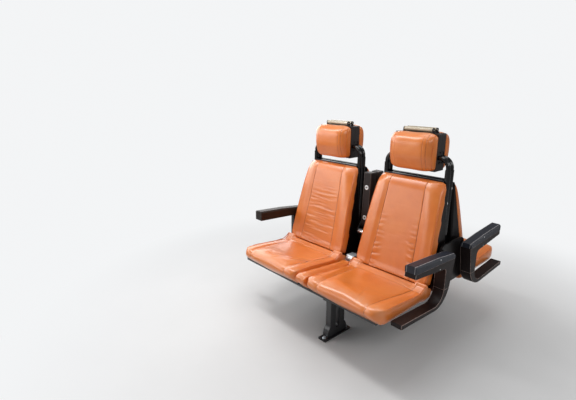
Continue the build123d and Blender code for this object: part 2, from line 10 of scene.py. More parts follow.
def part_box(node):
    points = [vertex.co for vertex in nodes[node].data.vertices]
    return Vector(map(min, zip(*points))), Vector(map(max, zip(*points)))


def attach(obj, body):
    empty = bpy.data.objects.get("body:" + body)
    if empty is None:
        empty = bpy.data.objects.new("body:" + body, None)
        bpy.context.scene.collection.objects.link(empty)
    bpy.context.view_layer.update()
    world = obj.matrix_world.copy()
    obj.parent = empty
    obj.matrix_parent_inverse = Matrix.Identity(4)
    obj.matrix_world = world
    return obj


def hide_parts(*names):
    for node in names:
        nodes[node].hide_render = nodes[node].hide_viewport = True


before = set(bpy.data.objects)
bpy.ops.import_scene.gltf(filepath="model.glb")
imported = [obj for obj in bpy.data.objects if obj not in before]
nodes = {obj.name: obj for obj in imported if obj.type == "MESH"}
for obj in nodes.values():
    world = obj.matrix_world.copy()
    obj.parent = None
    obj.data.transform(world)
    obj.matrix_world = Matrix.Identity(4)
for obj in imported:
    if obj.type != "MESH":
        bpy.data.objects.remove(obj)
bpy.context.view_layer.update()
scene = bpy.context.scene

# Places, in metres
# A seat's own frame is outward from its middle, forward from the middle of the unit, height.
# A backrest's own frame is outward, up its slope, forward from its rear face.
ENDS = {"front": -1, "rear": 1}
SIDES = {"window": -1, "aisle": 1}
SEATS = [(end, side) for end in ENDS for side in SIDES]
RECLINE = math.radians(14)
BACK_FOOT = (0.183, 0.405)      # lower rear edge of a backrest pad: forward, height
BACK_LENGTH = 0.588
BACK_HALF = (0.264, 0.224)      # half width of a backrest's rear face at its foot and its top
BACK_DEPTH = 0.048
BACK_DRAFT = 0.016              # its front face is narrower by this much at each side


def middle_x(node):
    low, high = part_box(node)
    return (low[0] + high[0]) / 2


UNIT_X = middle_x("filler_cushion_front")


def seat_to_world(points, seat_x, way, facing):
    """Points of a seat's own frame in the row frame."""
    out = np.empty_like(points)
    out[:, 0] = seat_x + way * points[:, 0]
    out[:, 1] = facing * points[:, 1]
    out[:, 2] = points[:, 2]
    return out


def world_to_seat(points, seat_x, way, facing):
    out = np.empty_like(points)
    out[:, 0] = way * (points[:, 0] - seat_x)
    out[:, 1] = facing * points[:, 1]
    out[:, 2] = points[:, 2]
    return out


def seat_to_back(points):
    """Points of a seat's own frame in its backrest's own frame."""
    forward = points[:, 1] - BACK_FOOT[0]
    height = points[:, 2] - BACK_FOOT[1]
    out = np.empty_like(points)
    out[:, 0] = points[:, 0]
    out[:, 1] = height * math.cos(RECLINE) - forward * math.sin(RECLINE)
    out[:, 2] = forward * math.cos(RECLINE) + height * math.sin(RECLINE)
    return out


def back_to_seat(points):
    out = np.empty_like(points)
    out[:, 0] = points[:, 0]
    out[:, 1] = BACK_FOOT[0] + points[:, 2] * math.cos(RECLINE) - points[:, 1] * math.sin(RECLINE)
    out[:, 2] = BACK_FOOT[1] + points[:, 1] * math.cos(RECLINE) + points[:, 2] * math.sin(RECLINE)
    return out


def smooth(x, start, end):
    """0 before start, 1 after end, and an even S between them. start may be the larger."""
    t = np.clip((np.asarray(x, float) - start) / (end - start), 0, 1)
    return t * t * (3 - 2 * t)


def hump(x, middle, width):
    """A bell of height 1."""
    return np.exp(-((np.asarray(x, float) - middle) / width) ** 2)


# Materials
TAN_DEEP = (0.68, 0.165, 0.022)
TAN = (0.74, 0.200, 0.032)
TAN_PALE = (0.78, 0.235, 0.048)
TAN_PATCH = (0.60, 0.135, 0.022)
# painted shade for the seam grooves and pleat creases
SEAM_PAINTED_SHADE = (0.14, 0.026, 0.008)
# lighter colour of wear and of painted highlight
WEAR_AND_HIGHLIGHT_SHADE = (0.78, 0.32, 0.15)
PIPING_DEEP = (0.58, 0.13, 0.025)
PIPING_PALE = (0.74, 0.21, 0.05)
CHIPPED_SHADE = (0.24, 0.22, 0.21)
CARD_DEEP = (0.44, 0.36, 0.24)
CARD_PALE = (0.56, 0.50, 0.38)


class Nodes:
    """Short hand for building one procedural material."""

    def __init__(self, name):
        self.material = bpy.data.materials.new(name)
        self.material.use_nodes = True
        self.tree = self.material.node_tree
        self.shader = self.tree.nodes["Principled BSDF"]
        self.place = self.tree.nodes.new("ShaderNodeTexCoord").outputs["Object"]

    def node(self, kind, **settings):
        made = self.tree.nodes.new(kind)
        for key, value in settings.items():
            setattr(made, key, value)
        return made

    def link(self, source, target):
        self.tree.links.new(source, target)

    def feed(self, socket, value):
        """Links the socket to an output, or sets it to a constant."""
        if hasattr(value, "is_linked"):
            self.link(value, socket)
        else:
            socket.default_value = value

    def set(self, **sockets):
        for key, value in sockets.items():
            self.feed(self.shader.inputs[key.replace("_", " ")], value)

    def stretched(self, scale):
        mapping = self.node("ShaderNodeMapping")
        self.link(self.place, mapping.inputs["Vector"])
        mapping.inputs["Scale"].default_value = scale
        return mapping.outputs["Vector"]

    def noise(self, scale, detail=3.0, rough=0.55, vector=None, warp=0.0):
        made = self.node("ShaderNodeTexNoise")
        self.link(vector or self.place, made.inputs["Vector"])
        made.inputs["Scale"].default_value = scale
        made.inputs["Detail"].default_value = detail
        made.inputs["Roughness"].default_value = rough
        made.inputs["Distortion"].default_value = warp
        return made.outputs["Fac"]

    def cells(self, scale):
        """Distance to the edge of the nearest of many small cells."""
        made = self.node("ShaderNodeTexVoronoi", feature="DISTANCE_TO_EDGE")
        self.link(self.place, made.inputs["Vector"])
        made.inputs["Scale"].default_value = scale
        return made.outputs["Distance"]

    def ramp(self, value, *stops):
        """stops are (position, colour or grey)."""
        made = self.node("ShaderNodeValToRGB")
        self.link(value, made.inputs["Fac"])
        elements = made.color_ramp.elements
        while len(elements) < len(stops):
            elements.new(0.5)
        for element, (position, shade) in zip(elements, stops):
            element.position = position
            element.color = (*shade, 1) if isinstance(shade, tuple) else (shade, shade, shade, 1)
        return made.outputs["Color"]

    def math(self, operation, a, b=0.0, clamp=False):
        made = self.node("ShaderNodeMath", operation=operation, use_clamp=clamp)
        self.feed(made.inputs[0], a)
        self.feed(made.inputs[1], b)
        return made.outputs["Value"]

    def varied(self, value, spread, middle):
        """middle, less or more by half the spread as the value goes from 0 to 1."""
        return self.math("ADD", self.math("MULTIPLY", value, spread), middle - spread / 2)

    def mix(self, amount, a, b):
        made = self.node("ShaderNodeMix", data_type="RGBA")
        self.feed(made.inputs[0], amount)
        for socket, value in ((made.inputs[6], a), (made.inputs[7], b)):
            self.feed(socket, (*value, 1) if isinstance(value, tuple) else value)
        return made.outputs[2]

    def attribute(self, name):
        return self.node("ShaderNodeAttribute", attribute_name=name).outputs["Fac"]

    def axis(self, name):
        split = self.node("ShaderNodeSeparateXYZ")
        self.link(self.place, split.inputs["Vector"])
        return split.outputs[name]

    def bump(self, height, strength, distance):
        made = self.node("ShaderNodeBump")
        made.inputs["Strength"].default_value = strength
        made.inputs["Distance"].default_value = distance
        self.link(height, made.inputs["Height"])
        self.link(made.outputs["Normal"], self.shader.inputs["Normal"])


def scaled(shade, factor, lift=0.0):
    """A colour times a factor, with each channel raised by lift."""
    return tuple(channel * factor + lift for channel in shade)


def leather():
    """Tan orange leather: fine grain and soft mottling, with painted shade in the seams and creases, and
    lighter where it is worn and where a highlight is painted.
    """
    m = Nodes("tan_leather")
    broad = m.noise(5.0, 3.0, 0.6, warp=0.6)
    patch = m.noise(26.0, 4.0, 0.6)
    shade = m.ramp(broad, (0.3, TAN_DEEP), (0.52, TAN), (0.75, TAN_PALE))
    shade = m.mix(m.ramp(patch, (0.45, 0.0), (0.75, 0.22)), shade, TAN_PATCH)
    # painted shade: the seam attribute darkens the seam grooves and the pleat folds
    dark = m.math("MULTIPLY", m.attribute("seam"), 0.85, clamp=True)
    shade = m.mix(dark, shade, SEAM_PAINTED_SHADE)
    # painted highlight, partly wear: lighter in broken patches where the mask is set
    rubbed = m.math("MULTIPLY", m.attribute("rub"), m.ramp(patch, (0.3, 0.35), (0.6, 1.0)), clamp=True)
    shade = m.mix(m.math("MULTIPLY", rubbed, 0.55), shade, WEAR_AND_HIGHLIGHT_SHADE)
    grain = m.cells(620.0)
    pores = m.noise(1500.0, 2.0)
    height = m.math("MULTIPLY", m.ramp(grain, (0.0, 0.0), (0.32, 1.0)), 0.7)
    height = m.math("ADD", height, m.math("MULTIPLY", pores, 0.3))
    creases = m.noise(90.0, 5.0, 0.7, m.stretched((1.0, 1.0, 2.2)), warp=1.2)
    height = m.math("ADD", height, m.math("MULTIPLY", creases, 1.2))
    m.bump(height, strength=0.12, distance=0.0007)
    m.set(
        Base_Color=shade,
        Roughness=m.varied(m.noise(60.0, 3.0), spread=0.12, middle=0.36),
        Specular_IOR_Level=0.45,
        Coat_Weight=0.75,
        Coat_Roughness=0.25,
    )
    return m.material


def piping_leather():
    m = Nodes("piping_leather")
    shade = m.ramp(m.noise(40.0, 4.0), (0.3, PIPING_DEEP), (0.7, PIPING_PALE))
    m.bump(m.noise(900.0, 2.0), strength=0.2, distance=0.0004)
    m.set(Base_Color=shade, Roughness=0.36, Specular_IOR_Level=0.5)
    return m.material


def moulded(name, shade, rough, grain, depth, tint=1.5, specular=0.45):
    """Moulded plastic: fine grain, faint cloudiness and dust."""
    m = Nodes(name)
    colour = m.ramp(m.noise(9.0, 5.0, 0.65), (0.35, shade), (0.8, scaled(shade, tint, 0.001)))
    m.bump(m.cells(grain), strength=depth, distance=0.0003)
    m.set(
        Base_Color=colour,
        Roughness=m.varied(m.noise(30.0, 4.0), spread=0.14, middle=rough),
        Specular_IOR_Level=specular,
    )
    return m.material


def enamel(name, shade, rough, wear=0.0):
    """Gloss paint on metal with a faint ripple, and a few chips where it is worn."""
    m = Nodes(name)
    colour = m.ramp(m.noise(7.0, 4.0), (0.3, shade), (0.8, scaled(shade, 1.6, 0.003)))
    if wear:
        chips = m.ramp(m.noise(150.0, 6.0, 0.75), (0.66, 0.0), (0.7, 1.0))
        colour = m.mix(m.math("MULTIPLY", chips, wear), colour, CHIPPED_SHADE)
    m.bump(m.noise(260.0, 2.0), strength=0.06, distance=0.0004)
    m.set(
        Base_Color=colour,
        Roughness=m.varied(m.noise(45.0, 4.0), spread=0.12, middle=rough),
        Specular_IOR_Level=0.55,
        Coat_Weight=0.3,
        Coat_Roughness=0.1,
    )
    return m.material


def steel(name, shade, rough, metallic, brushed=False):
    m = Nodes(name)
    streaks = m.noise(120.0, 4.0, 0.6, m.stretched((1.0, 14.0, 14.0)) if brushed else None)
    m.bump(streaks, strength=0.05, distance=0.0003)
    m.set(
        Base_Color=m.ramp(m.noise(20.0, 4.0), (0.3, scaled(shade, 0.82)), (0.7, shade)),
        Metallic=metallic,
        Roughness=m.varied(streaks, spread=0.16, middle=rough),
    )
    return m.material


def card():
    """A blank card in the drum, under a clear cover."""
    m = Nodes("blank_card")
    m.bump(m.noise(700.0, 2.0), strength=0.05, distance=0.0002)
    m.set(
        Base_Color=m.ramp(m.noise(14.0, 4.0), (0.3, CARD_DEEP), (0.75, CARD_PALE)),
        Roughness=0.4,
        Coat_Weight=0.9,
        Coat_Roughness=0.05,
    )
    return m.material


def wear_and_highlight_stripes(m, colour, stripes, light, strength):
    """Lighter lines, partly wear and partly painted highlight, where a value is near a place: (value,
    place, half width) for each.
    """
    broken = m.ramp(m.noise(38.0, 4.0, 0.7), (0.36, 0.35), (0.56, 1.0))
    for value, place, half in stripes:
        away = m.math("ABSOLUTE", m.math("SUBTRACT", value, place))
        line = m.math("SUBTRACT", 1.0, m.math("DIVIDE", away, half), clamp=True)
        line = m.math("POWER", line, 0.6)
        colour = m.mix(m.math("MULTIPLY", m.math("MULTIPLY", line, broken), strength), colour, light)
    return colour


def arm_plastic(name, shade, middle, half, bevel, light, seam_height=None, specular=0.35, line=0.0016):
    """Grained arm plastic, lighter where the bevels of its sides begin and along a level seam: partly wear,
    partly painted highlight.
    """
    m = Nodes(name)
    colour = m.ramp(m.noise(11.0, 5.0, 0.65), (0.3, shade), (0.8, scaled(shade, 1.7)))
    across = m.math("ABSOLUTE", m.math("SUBTRACT", m.axis("X"), middle))
    stripes = [(across, half - bevel, line)]
    if seam_height:
        stripes.append((m.axis("Z"), seam_height, 0.0012))
    # painted highlight lines, partly wear, where the bevels begin and along the seam
    colour = wear_and_highlight_stripes(m, colour, stripes, light, strength=0.8)
    m.bump(m.cells(1100.0), strength=0.22, distance=0.0003)
    m.set(
        Base_Color=colour,
        Roughness=m.varied(m.noise(35.0, 4.0), spread=0.14, middle=0.47),
        Specular_IOR_Level=specular,
    )
    return m.material


LEATHER = leather()
PIPING = piping_leather()
SHELL = moulded("black_shell", (0.0030, 0.0020, 0.0020), rough=0.30, grain=500.0, depth=0.03, specular=0.2)
BOX = moulded("box_black", (0.014, 0.010, 0.010), rough=0.36, grain=800.0, depth=0.2, tint=1.8)
TUBE = enamel("tube_black", (0.004, 0.0035, 0.004), rough=0.16)
FRAME_BLACK = enamel("frame_black", (0.006, 0.006, 0.007), rough=0.42, wear=0.15)
PEDESTAL = enamel("pedestal_black", (0.011, 0.011, 0.013), rough=0.36, wear=0.5)
BRIGHT = steel("bright_steel", (0.85, 0.87, 0.88), rough=0.2, metallic=0.8)
PRESSED = steel("pressed_steel", (0.70, 0.76, 0.80), rough=0.3, metallic=0.6, brushed=True)
ZINC = steel("zinc", (0.80, 0.82, 0.82), rough=0.34, metallic=0.35)
CARD = card()
RAIL = moulded("rail_black", (0.006, 0.007, 0.010), rough=0.42, grain=700.0, depth=0.05)

# Pieces


def paint(node, material):
    node_object = nodes[node]
    node_object.data.materials.clear()
    node_object.data.materials.append(material)


def make_object(name, verts, faces, material, sharp=None, **attributes):
    """A mesh object in the row frame, its faces turned outward."""
    mesh = bpy.data.meshes.new(name)
    mesh.from_pydata([tuple(v) for v in verts], [], [tuple(f) for f in faces])
    bm = bmesh.new()
    bm.from_mesh(mesh)
    bmesh.ops.recalc_face_normals(bm, faces=bm.faces)
    bm.to_mesh(mesh)
    bm.free()
    for key, values in attributes.items():
        layer = mesh.attributes.new(key, "FLOAT", "POINT")
        layer.data.foreach_set("value", np.asarray(values, np.float32))
    mesh.materials.append(material)
    mesh.polygons.foreach_set("use_smooth", [True] * len(mesh.polygons))
    if sharp is not None:
        mesh.set_sharp_from_angle(angle=math.radians(sharp))
    made = bpy.data.objects.new(name, mesh)
    scene.collection.objects.link(made)
    return made


def skin(rings, sides):
    """Faces between rings of vertices that follow each other, with a cap on both ends."""
    faces = []
    for k in range(rings - 1):
        for j in range(sides):
            beside = (j + 1) % sides
            faces.append((k * sides + j, k * sides + beside, (k + 1) * sides + beside, (k + 1) * sides + j))
    faces.append(tuple(range(sides)))
    faces.append(tuple((rings - 1) * sides + j for j in range(sides)))
    return faces


def tube(path, radius, sides=8):
    """Vertices and faces of a round tube along a path of points."""
    path = np.asarray(path, float)
    ahead = np.gradient(path, axis=0)
    ahead /= np.linalg.norm(ahead, axis=1)[:, None]
    side = np.cross(ahead[0], (0.31, 0.77, 0.55))
    verts = []
    for place, direction in zip(path, ahead):
        side = side - direction * side.dot(direction)
        side /= np.linalg.norm(side)
        over = np.cross(direction, side)
        for j in range(sides):
            turn = 2 * math.pi * j / sides
            verts.append(place + radius * (math.cos(turn) * side + math.sin(turn) * over))
    return verts, skin(len(path), sides)


def turned(profile, centre, axis, sides=32):
    """A turned solid: profile is (distance along the axis, radius), from one end to the other."""
    axis = Vector(axis).normalized()
    side = axis.orthogonal().normalized()
    over = axis.cross(side)
    centre = Vector(centre)
    verts = []
    for along, radius in profile:
        for j in range(sides):
            turn = 2 * math.pi * j / sides
            verts.append(centre + axis * along + (side * math.cos(turn) + over * math.sin(turn)) * radius)
    return verts, skin(len(profile), sides)


def joined(*pieces):
    verts, faces = [], []
    for piece_verts, piece_faces in pieces:
        start = len(verts)
        verts.extend(piece_verts)
        faces.extend(tuple(index + start for index in face) for face in piece_faces)
    return verts, faces


# Soft masters
# One of each kind is remeshed, cut at its seams and inflated in its seat's frame, then copied to
# its places with folds of its own.
SIM_FRAMES = 20
CLOTH = {
    "quality": 5,
    "mass": 0.25,
    "tension_stiffness": 18,
    "compression_stiffness": 18,
    "shear_stiffness": 8,
    "bending_stiffness": 0.8,
    "use_pressure": True,
}
RELAX_STEP = 0.7                # how far a free value moves to its neighbours' mean in a round
PIPING_RADIUS = 0.0024
PIPING_LIFT = 0.3               # of its middle above the leather, as a share of its radius
PIPING_ROUNDS = 7


def mesh_points(mesh):
    points = np.empty(len(mesh.vertices) * 3)
    mesh.vertices.foreach_get("co", points)
    return points.reshape(-1, 3)


def remeshed(points, faces, voxel):
    """The shape of the points and faces as a closed bmesh of even faces."""
    mesh = bpy.data.meshes.new("voxel")
    mesh.from_pydata([tuple(p) for p in points], [], faces)
    bm = bmesh.new()
    bm.from_mesh(mesh)
    bmesh.ops.remove_doubles(bm, verts=bm.verts, dist=1e-5)
    bmesh.ops.recalc_face_normals(bm, faces=bm.faces)
    bm.to_mesh(mesh)
    bm.free()
    holder = bpy.data.objects.new("voxel", mesh)
    scene.collection.objects.link(holder)
    modifier = holder.modifiers.new("voxel", "REMESH")
    modifier.mode = "VOXEL"
    modifier.voxel_size = voxel
    result = bpy.data.meshes.new_from_object(holder.evaluated_get(bpy.context.evaluated_depsgraph_get()))
    bpy.data.objects.remove(holder)
    bm = bmesh.new()
    bm.from_mesh(result)
    bpy.data.meshes.remove(result)
    return bm


def cut_seam(bm, point_at, normal, gap, snap=0.0008):
    """Edges where three planes cross the mesh: on a seam and a gap to each side of it."""
    for offset in (-gap, 0, gap):
        everything = bm.verts[:] + bm.edges[:] + bm.faces[:]
        bmesh.ops.bisect_plane(bm, geom=everything, dist=snap, plane_co=point_at(offset), plane_no=normal)


def relaxed(bm, values, held, rounds):
    """Values at the vertices evened out with their neighbours, apart from held ones."""
    pairs = np.array([(e.verts[0].index, e.verts[1].index) for e in bm.edges])
    both = np.concatenate([pairs, pairs[:, ::-1]])
    count = np.bincount(both[:, 0], minlength=len(values))[:, None]
    free = (1 - held)[:, None] * RELAX_STEP
    for _ in range(rounds):
        near = np.stack([np.bincount(both[:, 0], values[both[:, 1], k], len(values)) for k in range(3)], 1)
        values = values + (near / np.maximum(count, 1) - values) * free
    return values


def even(bm, mask, rounds):
    """Smooths the mesh where the mask is 1, which takes the steps of the voxels out of an edge."""
    bm.verts.index_update()
    points = np.array([tuple(v.co) for v in bm.verts])
    for vert, point in zip(bm.verts, relaxed(bm, points, 1 - mask(points), rounds)):
        vert.co = point


def blown_up(mesh, held, pressure):
    """Where the mesh's points go as cloth under pressure from inside. held is 1 where they stay."""
    soft = bpy.data.objects.new("soft", mesh)
    scene.collection.objects.link(soft)
    group = soft.vertex_groups.new(name="held")
    for index in np.nonzero(held > 0.01)[0]:
        group.add([int(index)], float(held[index]), "REPLACE")
    cloth = soft.modifiers.new("cloth", "CLOTH")
    for key, value in CLOTH.items():
        setattr(cloth.settings, key, value)
    cloth.settings.uniform_pressure_force = pressure
    cloth.settings.vertex_group_mass = "held"
    cloth.settings.effector_weights.gravity = 0
    cloth.collision_settings.use_collision = False
    cloth.point_cache.frame_start = 1
    cloth.point_cache.frame_end = SIM_FRAMES
    for step in range(1, SIM_FRAMES + 1):
        scene.frame_set(step)
    blown = mesh_points(soft.evaluated_get(bpy.context.evaluated_depsgraph_get()).to_mesh())
    scene.frame_set(1)
    bpy.data.objects.remove(soft)
    return blown


def inflate(bm, pinned, pressure, cap, inset, rounds):
    """The mesh's points drawn in by inset, blown up as cloth by cap at most, and evened out."""
    bm.normal_update()
    bm.verts.index_update()
    mesh = bpy.data.meshes.new("soft")
    bm.to_mesh(mesh)
    rest = mesh_points(mesh)
    normals = np.array([tuple(v.normal) for v in mesh.vertices])
    held = pinned(rest, normals)
    start = rest - normals * inset * (1 - held)[:, None]
    mesh.vertices.foreach_set("co", start.ravel())
    moved = blown_up(mesh, held, pressure) - start
    length = np.linalg.norm(moved, axis=1)
    moved *= np.minimum(1, cap / np.maximum(length, 1e-9))[:, None]
    return start + relaxed(bm, moved, held, rounds)


class Soft:
    """One kind of soft piece: its mesh in its own frame, and what is done to each copy of it."""

    def __init__(self, source, to_own, from_own, voxel):
        """source is the CAD node of the front one, at the aisle or in the middle."""
        self.from_own = from_own
        mesh = nodes[source].data
        seat_points = world_to_seat(mesh_points(mesh), middle_x(source), SIDES["aisle"], ENDS["front"])
        points = to_own(seat_points)
        self.low, self.high = points.min(0), points.max(0)
        self.bm = remeshed(points, [tuple(p.vertices) for p in mesh.polygons], voxel)

    def blow(self, pinned, pressure, cap, inset, rounds):
        """Inflates the mesh and keeps its points, faces and normals."""
        self.points = inflate(self.bm, pinned, pressure, cap, inset, rounds)
        self.faces = [tuple(v.index for v in f.verts) for f in self.bm.faces]
        for vert, point in zip(self.bm.verts, self.points):
            vert.co = point
        self.bm.normal_update()
        self.normals = np.array([tuple(v.normal) for v in self.bm.verts])
        self.bm.free()

    def place(self, name, end, side, points, **attributes):
        """A copy of the piece with these points, which replaces its CAD node."""
        world = seat_to_world(self.from_own(points), middle_x(name), SIDES[side], ENDS[end])
        made = make_object(name + "_leather", world, self.faces, LEATHER, **attributes)
        subdivided = made.modifiers.new("smooth", "SUBSURF")
        subdivided.levels = 1
        subdivided.render_levels = 1
        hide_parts(name)
        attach(made, "root")

    def trim(self, name, end, side, points, paths, radius):
        """Piping along paths in the piece's own frame, laid on the surface of its points."""
        tree = BVHTree.FromPolygons([Vector(p) for p in points], self.faces)
        pieces = []
        for path in paths:
            laid = []
            for point in path:
                spot, normal, _, _ = tree.find_nearest(Vector(point))
                laid.append(np.array(spot) + np.array(normal) * radius * PIPING_LIFT)
            laid = np.array(laid)
            for _ in range(PIPING_ROUNDS):
                middle = (np.roll(laid, 1, 0) + laid * 2 + np.roll(laid, -1, 0)) / 4
                laid = np.vstack([laid[:1], middle[1:-1], laid[-1:]])
            world = seat_to_world(self.from_own(laid), middle_x(name), SIDES[side], ENDS[end])
            pieces.append(tube(world, radius))
        verts, faces = joined(*pieces)
        made = make_object(name + "_piping", verts, faces, PIPING)
        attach(made, "root")


def same(points):
    return points


def seam_line(distance, width):
    """How far a point is in a seam: 1 on the line, 0 beside it."""
    return np.clip(1 - np.abs(distance) / width, 0, 1)


# Backrests
# A centre panel between two seams that close in towards the top, a rounded bolster on each side,
# and a side panel behind a piped edge.
PANEL_FOOT, PANEL_TOP = 0.143, 0.116        # half width of the centre panel
PANEL_LEAN = (PANEL_FOOT - PANEL_TOP) / BACK_LENGTH
BACK_SEAM_GAP = 0.0024
RIDGE_UP = (0.0, 0.24, 0.397, 0.458, 0.519, 0.560, 0.588)
RIDGE_DEPTH = (0.048, 0.048, 0.044, 0.038, 0.031, 0.020, 0.012)    # of the piped edge, by height
RIDGE_DROP = 0.004              # of the piping behind the ridge
BOLSTER_RISE = 0.006
FOOT_RISE = 0.004
TOP_THINNER = 0.35              # share that the pad loses at its top
BACK_HOLLOW = 0.004             # where the back rests
BACK_SEAM_DEPTH = 0.0028
BACK_SEED = 11
AISLE_PLEATS = 10               # beside each seam
AISLE_PLEAT_FOOT, AISLE_PLEAT_STEP = 0.016, 0.037
AISLE_PLEAT_SIZE = 0.0052
AISLE_PLEAT_REACH = 0.038       # inward from its seam
AISLE_STAGGER = 0.012           # of the outer row above the inner one
AISLE_WAVES = 14
WINDOW_PLEATS = 31
WINDOW_PLEAT_FOOT, WINDOW_PLEAT_STEP = 0.02, 0.0148
WINDOW_PLEAT_SIZE = 0.0024


def panel_half(up):
    return PANEL_FOOT + (PANEL_TOP - PANEL_FOOT) * np.asarray(up) / BACK_LENGTH


def back_half(up):
    return BACK_HALF[0] + (BACK_HALF[1] - BACK_HALF[0]) * np.asarray(up) / BACK_LENGTH


def ridge(up):
    return np.interp(up, RIDGE_UP, RIDGE_DEPTH)


def back_side(points):
    """1 on the sides of a backrest."""
    half = back_half(points[:, 1])
    return smooth(np.abs(points[:, 0]), half - 0.018, half - 0.008)


def held_back(points, normals):
    held = smooth(points[:, 2], 0.006, 0.001)
    seam = seam_line(np.abs(points[:, 0]) - panel_half(points[:, 1]), 0.0015)
    held = np.maximum(held, 0.7 * seam * smooth(points[:, 2], 0.02, 0.03))
    side = np.abs(points[:, 0]) - (back_half(points[:, 1]) - BACK_DRAFT)
    held = np.maximum(held, 0.95 * smooth(side, -0.022, -0.006))
    return np.maximum(held, 0.35 + 0.55 * smooth(points[:, 1], 0.20, 0.58))


back = Soft("backrest_pad_front_aisle", seat_to_back, back_to_seat, voxel=0.0077)
even(back.bm, back_side, rounds=14)
for hand in (-1, 1):
    lean = (hand, PANEL_LEAN, 0)
    cut_seam(back.bm, lambda offset: (hand * (PANEL_FOOT + offset), 0, 0), lean, BACK_SEAM_GAP)
back.blow(held_back, pressure=4.0, cap=0.0075, inset=0.005, rounds=10)


def pleat(below, swell, width):
    """The swelling just below a pleat and its fold, by the distance below it."""
    bulge = np.where(below > 0, below / swell * np.exp(1 - np.maximum(below, 0) / swell), 0)
    return bulge, hump(below, 0, width)


def aisle_pleats(lift, painted_crease_shade, across, up, inner, front, draw):
    """Short slanted pleats beside both seams, deeper low down, and faint waves between them,
    added to lift, with painted shade in their folds. inner is the distance inward from the nearer seam."""
    for hand in (-1, 1):
        stagger = AISLE_STAGGER if hand > 0 else 0
        for k in range(AISLE_PLEATS):
            foot = AISLE_PLEAT_FOOT + AISLE_PLEAT_STEP * k + draw.uniform(-0.008, 0.008) + stagger
            size = (AISLE_PLEAT_SIZE * smooth(foot, 0.36, 0.14) + 0.0006) * draw.uniform(0.6, 1.1)
            reach = AISLE_PLEAT_REACH + draw.uniform(-0.012, 0.014)
            near = (across * hand > 0) * smooth(inner, -0.001, 0.004)
            near = near * smooth(inner, reach * 1.5, reach * 0.4)
            slope = 0.10 + 0.12 * math.sin(5.0 * k + hand)
            bulge, fold = pleat(foot - up + slope * inner, swell=0.009, width=0.0038)
            lift += front * near * size * (0.8 * bulge - 0.9 * fold)
            # painted shade in the pleat's fold
            painted_crease_shade += near * fold * min(1, size / 0.004) * 0.45
    for _ in range(AISLE_WAVES):
        height = draw.uniform(0.14, 0.42)
        middle = draw.uniform(-0.05, 0.05)
        wave = hump(up - 0.05 * across, height, 0.005) * hump(across, middle, 0.05) * (inner > 0)
        lift += front * wave * draw.uniform(-0.0004, 0.0004)


def window_pleats(lift, painted_crease_shade, across, up, inner, front, draw):
    """Long level pleats across the panel, shallower and closer together, added in the same way."""
    for k in range(WINDOW_PLEATS):
        height = WINDOW_PLEAT_FOOT + WINDOW_PLEAT_STEP * k + draw.uniform(-0.005, 0.005)
        size = (WINDOW_PLEAT_SIZE * smooth(height, 0.54, 0.10) + 0.0004) * draw.uniform(0.5, 1.2)
        middle, width = draw.uniform(-0.08, 0.08), draw.uniform(0.06, 0.15)
        below = height - up + 0.05 * across ** 2 / 0.12 + draw.uniform(-0.02, 0.02) * across
        bulge, fold = pleat(below, swell=0.0062, width=0.0032)
        along = smooth(inner, -0.001, 0.006) * hump(across, middle, width)
        lift += front * along * size * (0.8 * bulge - fold)
        # painted shade in the pleat's fold
        painted_crease_shade += along * fold * min(1, size / 0.0022) * 0.35


def back_folds(points, side, seed):
    """Rounded bolsters, seams, and the pleats that sitting has pressed into the panel, with painted shade
    in the seams and pleat folds as the second thing returned. lift is a view of the copy's depths, which
    the lines below change in place."""
    draw = random.Random(seed)
    out = points.copy()
    across, up, depth = points[:, 0], points[:, 1], points[:, 2]
    lift = out[:, 2]
    away = np.abs(across)
    panel = panel_half(up)
    front = smooth(depth, 0.022, 0.04)
    # the bolster falls off towards the piped edge, more so near the top, and so does the top
    outward = np.clip((away - panel) / (back_half(up) - BACK_DRAFT - panel), 0, 1)
    lift += front * BOLSTER_RISE * np.sin(math.pi * outward) * smooth(outward, 0, 0.3)
    lift *= 1 - (1 - ridge(up) / BACK_DEPTH) * outward ** 1.8
    lift += front * FOOT_RISE * smooth(up, 0.05, 0.01)
    lift *= 1 - TOP_THINNER * smooth(up, 0.50, BACK_LENGTH) ** 2
    # the centre panel is pressed in a little where the back rests
    lift -= front * BACK_HOLLOW * (1 - outward) * hump(across, 0, 0.11) * hump(up, 0.2, 0.2)
    painted_crease_shade = np.zeros(len(points))
    pleats = aisle_pleats if side == "aisle" else window_pleats
    pleats(lift, painted_crease_shade, across, up, panel - away, front, draw)
    seam = seam_line(away - panel, 0.002) * front
    lift -= seam * BACK_SEAM_DEPTH
    # painted shade in the seam grooves and pleat folds
    return out, np.clip(seam + painted_crease_shade, 0, 1)


def piped_half(up):
    return back_half(up) - BACK_DRAFT * ridge(up) / BACK_DEPTH


def back_edge_path():
    """The piped edge: up one side, round the top corners and down the other, in the back's frame."""
    top, corner = BACK_LENGTH - 0.008, 0.045
    rise = top - corner
    path = [(piped_half(up), up, ridge(up) - RIDGE_DROP) for up in np.linspace(0.02, rise, 40)]
    half = piped_half(rise)
    for turn in np.linspace(0, math.pi / 2, 9)[1:]:
        up = rise + corner * math.sin(turn)
        path.append((half - corner + corner * math.cos(turn), up, ridge(up) - RIDGE_DROP))
    mirrored = [(-across, up, depth) for across, up, depth in reversed(path)]
    bridge = [(across, top, path[-1][2]) for across in np.linspace(half - corner, corner - half, 20)[1:-1]]
    return path + bridge + mirrored


for number, (end, side) in enumerate(SEATS):
    name = f"backrest_pad_{end}_{side}"
    points, seam = back_folds(back.points, side, BACK_SEED + number)
    points[:, 2] = np.clip(points[:, 2], 0.0, BACK_DEPTH + 0.008)
    # painted highlight, partly wear: lighter bands on the upper half of the bolsters
    rub = hump(np.abs(points[:, 0]) - panel_half(points[:, 1]), 0.03, 0.02) * smooth(points[:, 1], 0.3, 0.6)
    back.place(name, end, side, points, seam=seam, rub=rub)
    back.trim(name, end, side, points, [back_edge_path()], PIPING_RADIUS)

